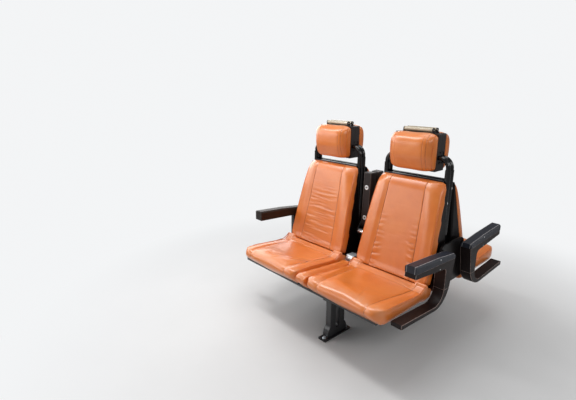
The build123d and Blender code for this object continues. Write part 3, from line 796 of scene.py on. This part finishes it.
# Seat cushions
# A centre panel, bolsters at both sides, a rolled nose, and a lip in front of the backrest
# between two raised tabs.
LIP_LINE = 0.286                # foot of the lip, forward from the middle of the unit
SEAT_PANEL_NEAR = 0.640         # where the centre panel ends at the nose
SEAT_PANEL_LENGTH = 0.350
SEAT_PANEL_HALF = 0.168         # half width of the centre panel at the nose
SEAT_PANEL_SPREAD = 0.030       # what each side gains towards the lip
SEAT_SEAM_GAP = 0.0024
LIP_SEAM_GAP = 0.003
SEAT_SEAM_DEPTH = 0.0040
LIP_DEPTH = 0.004
SEAT_DISH = 0.006
SEAT_CROWN = 0.005
SEAT_BOLSTER = 0.003
NOSE_ROLL = 0.0045
SEAT_SEED = 31
SEAT_RIPPLES = 26
CORNER_PUCKERS = 46
SEAT_FOLD_SIZE = {"window": 0.0032, "aisle": 0.0014}
SEAT_FOLDS = {                  # outward and forward place and slant of each fold
    "window": ((-0.155, 0.50, 0.7), (-0.120, 0.53, 0.75), (-0.19, 0.47, 0.6), (-0.07, 0.56, 0.8)),
    "aisle": ((-0.235, 0.56, 1.2), (0.09, 0.60, 0.3)),
}


def seat_panel_half(forward):
    return SEAT_PANEL_HALF + SEAT_PANEL_SPREAD * (SEAT_PANEL_NEAR - np.asarray(forward)) / SEAT_PANEL_LENGTH


def seat_seam(points):
    """Distance from the centre panel's seams."""
    return np.abs(points[:, 0]) - seat_panel_half(points[:, 1])


def seat_nose(points):
    """1 on the upper half of a cushion's nose."""
    return smooth(points[:, 1], 0.55, 0.59) * smooth(points[:, 2], 0.345, 0.375)


def held_seat(points, normals):
    held = smooth(points[:, 2], cushion.low[2] + 0.006, cushion.low[2] + 0.001)
    held = np.maximum(held, smooth(points[:, 1], 0.255, 0.240))
    seam = seam_line(seat_seam(points), 0.0015) * smooth(points[:, 2], 0.35, 0.37)
    return np.maximum(held, seam)


cushion = Soft("seat_cushion_front_aisle", same, same, voxel=0.0089)
even(cushion.bm, seat_nose, rounds=5)
for hand in (-1, 1):
    lean = (hand, SEAT_PANEL_SPREAD / SEAT_PANEL_LENGTH, 0)
    cut_seam(cushion.bm, lambda offset: (hand * (seat_panel_half(0.0) + offset), 0, 0), lean, SEAT_SEAM_GAP)
cut_seam(cushion.bm, lambda offset: (0, LIP_LINE + offset, 0), (0, 1, 0), LIP_SEAM_GAP)
cushion.blow(held_seat, pressure=5.0, cap=0.013, inset=0.006, rounds=12)


def from_fold(outward, forward, middle, place, slant):
    """Distances along and across a slanted line through a place."""
    along = (outward - middle) * math.sin(slant) + (forward - place) * math.cos(slant)
    over = (outward - middle) * math.cos(slant) - (forward - place) * math.sin(slant)
    return along, over


def seat_folds(points, normals, side, seed):
    """The dish and crown of the seat, its rolled nose, its seams, and the folds of its leather, with
    painted shade in the seams, the lip's groove and the folds as the second thing returned. lift is a view
    of the copy's heights."""
    draw = random.Random(seed)
    out = points.copy()
    outward, forward, height = points[:, 0], points[:, 1], points[:, 2]
    lift = out[:, 2]
    upper = smooth(normals[:, 2], 0.2, 0.7) * smooth(forward, LIP_LINE - 0.02, LIP_LINE + 0.02)
    panel = seat_panel_half(forward)
    inner = panel - np.abs(outward)
    lift -= upper * SEAT_DISH * smooth(inner, -0.02, 0.05) * hump(forward, 0.40, 0.12)
    lift += upper * SEAT_CROWN * smooth(inner, 0.0, 0.10) * hump(forward, 0.555, 0.055)
    lift += upper * SEAT_BOLSTER * hump(np.abs(outward) - panel, 0.035, 0.025)
    # the nose rolls over in a full curve
    roll = smooth(forward, 0.50, 0.62) * smooth(height, 0.34, 0.37)
    edge = np.clip((cushion.high[0] - np.abs(outward)) / 0.05, 0, 1)
    out += normals * (roll * edge * NOSE_ROLL * hump(height, 0.395, 0.030))[:, None]
    above = smooth(height, 0.345, 0.36)
    pinch = hump(np.abs(outward) - panel, 0, 0.011) * (0.0012 + 0.0030 * roll) * smooth(forward, 0.30, 0.34)
    out -= normals * (pinch * above)[:, None]
    seam = seam_line(seat_seam(points), 0.002) * above
    seam = seam * smooth(forward, LIP_LINE - 0.01, LIP_LINE + 0.01)
    out -= normals * (seam * SEAT_SEAM_DEPTH)[:, None]
    lip = seam_line(forward - LIP_LINE, 0.002) * smooth(normals[:, 2], 0.2, 0.6)
    lift -= lip * LIP_DEPTH
    painted_crease_shade = np.zeros(len(points))
    for fold in SEAT_FOLDS[side]:
        along, over = from_fold(outward, forward, *fold)
        wave = hump(along, 0, 0.075) * upper
        lift += wave * SEAT_FOLD_SIZE[side] * (hump(over, 0.008, 0.010) - 0.8 * hump(over, -0.004, 0.005))
        # painted shade in the fold
        painted_crease_shade += wave * hump(over, -0.004, 0.004) * 0.25
    for _ in range(SEAT_RIPPLES):
        middle, place = draw.uniform(-0.24, 0.24), draw.uniform(0.32, 0.62)
        along, over = from_fold(outward, forward, middle, place, draw.uniform(0, math.pi))
        lift += hump(along, 0, 0.05) * hump(over, 0, 0.009) * upper * draw.uniform(-0.0007, 0.0007)
    # radial puckers on the underside of the nose's corners
    corner = smooth(forward, 0.56, 0.62) * smooth(height, 0.39, 0.36) * smooth(np.abs(outward), 0.12, 0.2)
    turn = np.arctan2(forward - 0.55, outward)
    out += normals * (corner * 0.0014 * np.sin(turn * CORNER_PUCKERS + seed))[:, None]
    out[:, 0] = np.clip(out[:, 0], cushion.low[0], cushion.high[0])
    # painted shade in the seams, the lip's groove and the folds
    return out, np.clip(seam + lip * 0.7 + painted_crease_shade, 0, 1)


def seat_edge_path(hand):
    """Top edge of the cushion's side, from the tab forward and down at the nose."""
    edge = cushion.high[0] - 0.010
    path = [(0, 0.240, 0.442), (0, 0.252, 0.432), (0, 0.27, 0.419)]       # inward, forward, height
    for forward in np.linspace(0.288, 0.590, 26):
        path.append((0, forward, 0.409 + 0.026 * (forward - 0.29) / 0.3))
    path += [(0.004, 0.610, 0.430), (0.012, 0.628, 0.415), (0.02, 0.634, 0.395)]
    path += [(0.03, 0.630, 0.375), (0.045, 0.615, 0.352)]
    return [(hand * (edge - inward), forward, height) for inward, forward, height in path]


for number, (end, side) in enumerate(SEATS):
    name = f"seat_cushion_{end}_{side}"
    points, seam = seat_folds(cushion.points, cushion.normals, side, SEAT_SEED + number)
    # painted highlight, partly wear: lighter along the nose's top edge and on top of the lip
    rub = hump(points[:, 1], 0.63, 0.03) * smooth(points[:, 2], 0.39, 0.43)
    lip_top = smooth(points[:, 1], LIP_LINE, LIP_LINE - 0.01)
    rub = np.maximum(rub, 0.7 * lip_top * smooth(points[:, 2], 0.38, 0.4))
    cushion.place(name, end, side, points, seam=seam, rub=rub)
    cushion.trim(name, end, side, points, [seat_edge_path(1), seat_edge_path(-1)], PIPING_RADIUS)

# Filler cushions
FILLER_FALL = 0.010             # of its top at both sides


def held_filler(points, normals):
    under = smooth(points[:, 2], filler.low[2] + 0.005, filler.low[2] + 0.001)
    return np.maximum(under, smooth(points[:, 1], 0.25, 0.24))


filler = Soft("filler_cushion_front", same, same, voxel=0.0085)
filler.blow(held_filler, pressure=6.0, cap=0.012, inset=0.006, rounds=5)
for number, end in enumerate(ENDS):
    points = filler.points.copy()
    rise = smooth(filler.normals[:, 2], 0.3, 0.8)
    points[:, 2] -= rise * FILLER_FALL * (np.abs(points[:, 0]) / filler.high[0]) ** 2.5
    points[:, 0] = np.clip(points[:, 0], filler.low[0], filler.high[0])
    points[:, 2] += rise * 0.0006 * np.sin(points[:, 1] * 130 + number) * hump(points[:, 0], 0, 0.03)
    # painted highlight, partly wear: lighter along the nose's top edge
    rub = hump(points[:, 1], 0.63, 0.03) * rise
    filler.place(f"filler_cushion_{end}", end, "aisle", points, seam=np.zeros(len(points)), rub=rub)

# Headrests
# A centre panel, a narrow strip beyond each seam, and a side panel with a piped rim.
HEAD_SEAMS = (0.088, 0.108)
HEAD_SEAM_GAP = 0.0018
HEAD_SEAM_DEPTH = 0.0032
HEAD_PIPING_RADIUS = 0.002
HEAD_SEED = 51
HEAD_RIPPLES = 10


def head_seam(points, width):
    away = np.abs(points[:, 0])
    return np.maximum(seam_line(away - HEAD_SEAMS[0], width), seam_line(away - HEAD_SEAMS[1], width))


def head_front(points):
    """1 from a little in front of a headrest's rear face."""
    return smooth(points[:, 1], head.low[1] + 0.012, head.low[1] + 0.03)


def held_head(points, normals):
    held = smooth(points[:, 1], head.low[1] + 0.005, head.low[1] + 0.001)
    seam = head_seam(points, 0.001) * smooth(points[:, 1], head.low[1] + 0.005, head.low[1] + 0.015)
    held = np.maximum(held, seam)
    return np.maximum(held, 0.4 + 0.5 * smooth(np.abs(normals[:, 0]), 0.4, 0.8))


head = Soft("headrest_pad_front_aisle", same, same, voxel=0.0068)
even(head.bm, head_front, rounds=9)
for hand in (-1, 1):
    for line in HEAD_SEAMS:
        cut_seam(head.bm, lambda offset: (hand * (line + offset), 0, 0), (1, 0, 0),
                 HEAD_SEAM_GAP, snap=0.0005)
head.blow(held_head, pressure=3.0, cap=0.006, inset=0.003, rounds=14)


def head_rim(hand):
    """Rim of the side panel, from the box under the chin round to the box again."""
    low, high = head.low, head.high
    side = hand * (high[0] - 0.010)
    reach = high[1] - low[1]
    path = []
    for turn in np.linspace(-math.pi / 2, math.pi / 2, 40):
        height = (high[2] + low[2]) / 2 + (high[2] - low[2]) / 2 * 0.97 * math.sin(turn)
        path.append((side, low[1] + 0.004 + reach * 0.50 * math.cos(turn) ** 0.6, height))
    return path


for number, (end, side) in enumerate(SEATS):
    name = f"headrest_pad_{end}_{side}"
    draw = random.Random(HEAD_SEED + number)
    points = head.points.copy()
    seam = head_seam(points, 0.0014) * smooth(points[:, 1], head.low[1] + 0.002, head.low[1] + 0.01)
    points -= head.normals * (seam * HEAD_SEAM_DEPTH)[:, None]
    for _ in range(HEAD_RIPPLES):
        middle, place = draw.uniform(-0.08, 0.08), draw.uniform(head.low[2], head.high[2])
        wave = hump(points[:, 0], middle, 0.03) * hump(points[:, 2] + 0.2 * points[:, 0], place, 0.010)
        points += head.normals * (wave * draw.uniform(-0.0004, 0.0004))[:, None]
    points = np.clip(points, head.low, head.high)
    # painted highlight, partly wear: lighter along the top edge
    rub = smooth(points[:, 2], head.high[2] - 0.03, head.high[2] - 0.005)
    # painted shade in the seam grooves, weaker than on the other pieces
    head.place(name, end, side, points, seam=seam * 0.6, rub=rub)
    head.trim(name, end, side, points, [head_rim(1), head_rim(-1)], HEAD_PIPING_RADIUS)

# Rigid pieces
ARM_HALF, ARM_BEVEL = 0.032, 0.009
MIDDLE_ARM_HALF, MIDDLE_ARM_BEVEL = 0.030, 0.005
BAND_BEVEL = 0.0015
BAND_SEAM = 0.421               # height of its joint line
BAND_X = middle_x("arm_pad_front")
WINDOW_ARM_X = middle_x("window_arm_front")
ARM_PAD = arm_plastic("arm_pad_plastic", (0.013, 0.015, 0.023), BAND_X, ARM_HALF, ARM_BEVEL,
                      light=(0.55, 0.52, 0.52))
WINDOW_ARM = arm_plastic("window_arm_plastic", (0.014, 0.009, 0.007), WINDOW_ARM_X, ARM_HALF, ARM_BEVEL,
                         light=(0.16, 0.12, 0.1))
MIDDLE_ARM = arm_plastic("middle_arm_plastic", (0.014, 0.009, 0.008), UNIT_X,
                         MIDDLE_ARM_HALF, MIDDLE_ARM_BEVEL, light=(0.2, 0.15, 0.13))
BAND = arm_plastic("band_enamel", (0.009, 0.0048, 0.0045), BAND_X, ARM_HALF, BAND_BEVEL,
                   light=(0.55, 0.42, 0.38), seam_height=BAND_SEAM, specular=0.22, line=0.0014)

FINISHES = {
    "back_shell": SHELL, "side_cover": SHELL, "headrest_box": BOX, "card_stand": BOX, "headrest_bow": TUBE,
    "card_drum": CARD, "aisle_band": BAND, "arm_pad": ARM_PAD, "window_arm_bracket": FRAME_BLACK,
    "window_arm": WINDOW_ARM, "middle_armrest": MIDDLE_ARM, "armrest_hinge": FRAME_BLACK,
    "armrest_stops": BRIGHT, "top_rails": RAIL, "metal_box": PRESSED, "pedestal": PEDESTAL,
}
for node in nodes:
    matches = [prefix for prefix in FINISHES if node.startswith(prefix)]
    paint(node, FINISHES[max(matches, key=len)] if matches else FRAME_BLACK)

# Small hardware
HINGE = (0.048, 0.612)          # of the middle armrests: forward, height
ARM_LEAN = math.radians(2)
RING_PLACES = (0.245, 0.044)    # up the folded armrest from its hinge
RING_OUT = 0.030                # from the hinge's plane to the armrest's face
RING_RADIUS = 0.0150
ARM_SCREW_FORWARD = 0.254
ARM_SCREW_HEIGHTS = (0.566, 0.618)
ARM_SCREW_RADIUS = 0.0035
BOW_HALF, SLEEVE_RADIUS = 0.199, 0.016
BOW_SCREW_FORWARD = 0.017
BOW_SCREW_HEIGHTS = {"front": 0.852, "rear": 0.934}
BOW_SCREW_RADIUS = 0.005
FLOOR_BOLTS = (0.345, 0.535)    # forward places
FOOT_PLATE_TOP = 0.008
WALL_BOLTS = (0.300, 0.510)     # forward places
WALL_BRACKET_FACE, WALL_BOLT_HEIGHT = -0.728, 0.350

# Profiles of turned pieces: distance along the axis, then the share of the radius
WASHER = (
    (-0.001, 0.3), (-0.001, 1), (0.0012, 1), (0.0026, 0.86), (0.0026, 0.62), (0.0012, 0.46), (0.0012, 0.3),
)
WASHER_SCREW = ((0.0004, 0.42), (0.0018, 0.42), (0.0023, 0.34), (0.0016, 0.16), (0.0010, 0.1))
ROUND_SCREW = ((-0.001, 1), (0.0008, 1), (0.0018, 0.7), (0.0021, 0.3))

# Profiles of bolts: distance along the axis, then the radius
BOLT_WASHER = ((-0.0005, 0.0125), (0.0018, 0.0125), (0.0025, 0.0118))
BOLT_HEAD = ((0.0020, 0.0098), (0.0085, 0.0098), (0.0096, 0.0088))


def sized(profile, radius):
    return [(along, radius * share) for along, share in profile]


def ring(centre, axis, radius):
    """A cupped washer with a dark screw head in it: two meshes."""
    washer = turned(sized(WASHER, radius), centre, axis)
    return washer, turned(sized(WASHER_SCREW, radius), centre, axis, sides=6)


def screw(centre, axis, radius):
    return turned(sized(ROUND_SCREW, radius), centre, axis, sides=16)


def hex_bolt(centre, axis):
    """Hexagon head on a washer."""
    return joined(turned(BOLT_WASHER, centre, axis, sides=24), turned(BOLT_HEAD, centre, axis, sides=6))


def rigid(name, pieces, material, body="root"):
    verts, faces = joined(*pieces)
    made = make_object(name, verts, faces, material, sharp=35)
    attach(made, body)


for end, facing in ENDS.items():
    outward = Vector((0, facing * math.cos(ARM_LEAN), math.sin(ARM_LEAN)))
    along = Vector((0, -facing * math.sin(ARM_LEAN), math.cos(ARM_LEAN)))
    washers, heads = [], []
    for up in RING_PLACES:
        centre = Vector((UNIT_X, facing * HINGE[0], HINGE[1])) + along * up + outward * RING_OUT
        washer, head_mesh = ring(centre, outward, RING_RADIUS)
        washers.append(washer)
        heads.append(head_mesh)
    rigid(f"armrest_washers_{end}", washers, ZINC, f"{end}_armrest")
    rigid(f"armrest_screws_{end}", heads, FRAME_BLACK, f"{end}_armrest")

for name, x, places, height, axis in (
    ("floor_bolt_heads", 0, FLOOR_BOLTS, FOOT_PLATE_TOP, (0, 0, 1)),
    ("wall_bolt_heads", WALL_BRACKET_FACE, WALL_BOLTS, WALL_BOLT_HEIGHT, (1, 0, 0)),
):
    bolts = [hex_bolt((x, facing * place, height), axis) for facing in ENDS.values() for place in places]
    rigid(name, bolts, PRESSED)

for end, facing in ENDS.items():
    screws = []
    for height in ARM_SCREW_HEIGHTS:
        centre = (BAND_X + ARM_HALF, facing * ARM_SCREW_FORWARD, height)
        screws.append(screw(centre, (1, 0, 0), ARM_SCREW_RADIUS))
    rigid(f"arm_screws_{end}", screws, BRIGHT)

screws = []
for end, side in SEATS:
    way = SIDES[side]
    sleeve_side = middle_x(f"seat_cushion_{end}_{side}") + way * (BOW_HALF + SLEEVE_RADIUS)
    centre = (sleeve_side, ENDS[end] * BOW_SCREW_FORWARD, BOW_SCREW_HEIGHTS[end])
    screws.append(screw(centre, (way, 0, 0), BOW_SCREW_RADIUS))
rigid("bow_screws", screws, BRIGHT)

# Floor, light and camera
FOCAL_PIXELS, FRAME_WIDTH = 403.7, 576
CAMERA_PLACE = (1.464, -2.1206, 1.4717)
CAMERA_DOWN, CAMERA_TURN = 15.42, 48.56
SENSOR_WIDTH = 36
FLOOR_HALF = 20
PALE = (0.90, 0.91, 0.92)       # of the background and the far floor
FLOOR_FADE = (0.9, 2.4)         # distances between which the floor passes into the background
WORLD_LIGHT = 0.22              # share of the background that lights the scene
LIGHTS = (                      # name, place, size, power, direction
    ("window_light", (-2.3, -1.0, 1.6), (1.2, 10.0), 115, (1, 0, -0.1)),
    ("aisle_light", (2.8, -1.2, 2.5), (1.2, 2.2), 24, (-1, 0.4, -0.65)),
    ("roof_light", (0.0, 0.0, 3.2), (1.4, 3.2), 30, (0, 0, -1)),
    ("rack_light", (-1.05, -0.95, 2.5), (1.3, 0.3), 22, (0.5, 0.1, -0.8)),
    ("far_light", (1.9, 1.6, 1.9), (0.5, 1.6), 9, (-0.5, -0.7, -0.5)),
)


def floor_material():
    """Plain pale floor that passes evenly into the background away from the unit."""
    m = Nodes("studio_floor")
    m.set(Base_Color=m.ramp(m.noise(2.0), (0.3, 0.70), (0.7, 0.73)), Roughness=0.75)
    away = m.node("ShaderNodeVectorMath", operation="LENGTH")
    m.link(m.place, away.inputs[0])
    seen = m.node("ShaderNodeLightPath").outputs["Is Camera Ray"]
    share = m.node("ShaderNodeMapRange", interpolation_type="SMOOTHSTEP")
    m.feed(share.inputs["Value"], away.outputs["Value"])
    share.inputs["From Min"].default_value = FLOOR_FADE[0]
    share.inputs["From Max"].default_value = FLOOR_FADE[1]
    glow = m.node("ShaderNodeEmission")
    glow.inputs["Color"].default_value = (*PALE, 1)
    both = m.node("ShaderNodeMixShader")
    m.feed(both.inputs[0], m.math("MULTIPLY", share.outputs["Result"], seen))
    m.link(m.shader.outputs["BSDF"], both.inputs[1])
    m.link(glow.outputs["Emission"], both.inputs[2])
    m.link(both.outputs["Shader"], m.tree.nodes["Material Output"].inputs["Surface"])
    return m.material


def add_floor():
    corners = [(x * FLOOR_HALF, y * FLOOR_HALF, 0) for x, y in ((-1, -1), (1, -1), (1, 1), (-1, 1))]
    make_object("floor", corners, [(0, 1, 2, 3)], floor_material())


def add_camera():
    camera = bpy.data.cameras.new("camera")
    camera.sensor_width = SENSOR_WIDTH
    camera.lens = FOCAL_PIXELS / FRAME_WIDTH * camera.sensor_width
    holder = bpy.data.objects.new("camera", camera)
    holder.location = CAMERA_PLACE
    holder.rotation_euler = (math.radians(90 - CAMERA_DOWN), 0, math.radians(CAMERA_TURN))
    scene.collection.objects.link(holder)
    scene.camera = holder


def add_light(name, place, size, power, aim):
    """A lit rectangle that faces along aim, its second side as near to the Y axis as it can be."""
    light = bpy.data.lights.new(name, "AREA")
    light.shape = "RECTANGLE"
    light.size, light.size_y = size
    light.energy = power
    lamp = bpy.data.objects.new(name, light)
    lamp.location = place
    behind = -Vector(aim).normalized()
    along = (Vector((0, 1, 0)) - behind * behind.y).normalized()
    lamp.rotation_euler = Matrix((along.cross(behind), along, behind)).transposed().to_euler()
    scene.collection.objects.link(lamp)


def add_background():
    """Pale all round where the camera sees it, and dimmer as a light."""
    world = bpy.data.worlds.new("studio")
    scene.world = world
    world.use_nodes = True
    tree = world.node_tree
    background = tree.nodes["Background"]
    paths = tree.nodes.new("ShaderNodeLightPath")
    seen = tree.nodes.new("ShaderNodeMath")
    seen.operation = "MAXIMUM"
    tree.links.new(paths.outputs["Is Camera Ray"], seen.inputs[0])
    tree.links.new(paths.outputs["Is Transmission Ray"], seen.inputs[1])
    strength = tree.nodes.new("ShaderNodeMapRange")
    strength.inputs["To Min"].default_value = WORLD_LIGHT
    strength.inputs["To Max"].default_value = 1.0
    tree.links.new(seen.outputs[0], strength.inputs["Value"])
    tree.links.new(strength.outputs["Result"], background.inputs["Strength"])
    background.inputs["Color"].default_value = (*PALE, 1)


add_floor()
add_camera()
for settings in LIGHTS:
    add_light(*settings)
add_background()
scene.view_settings.view_transform = "Standard"
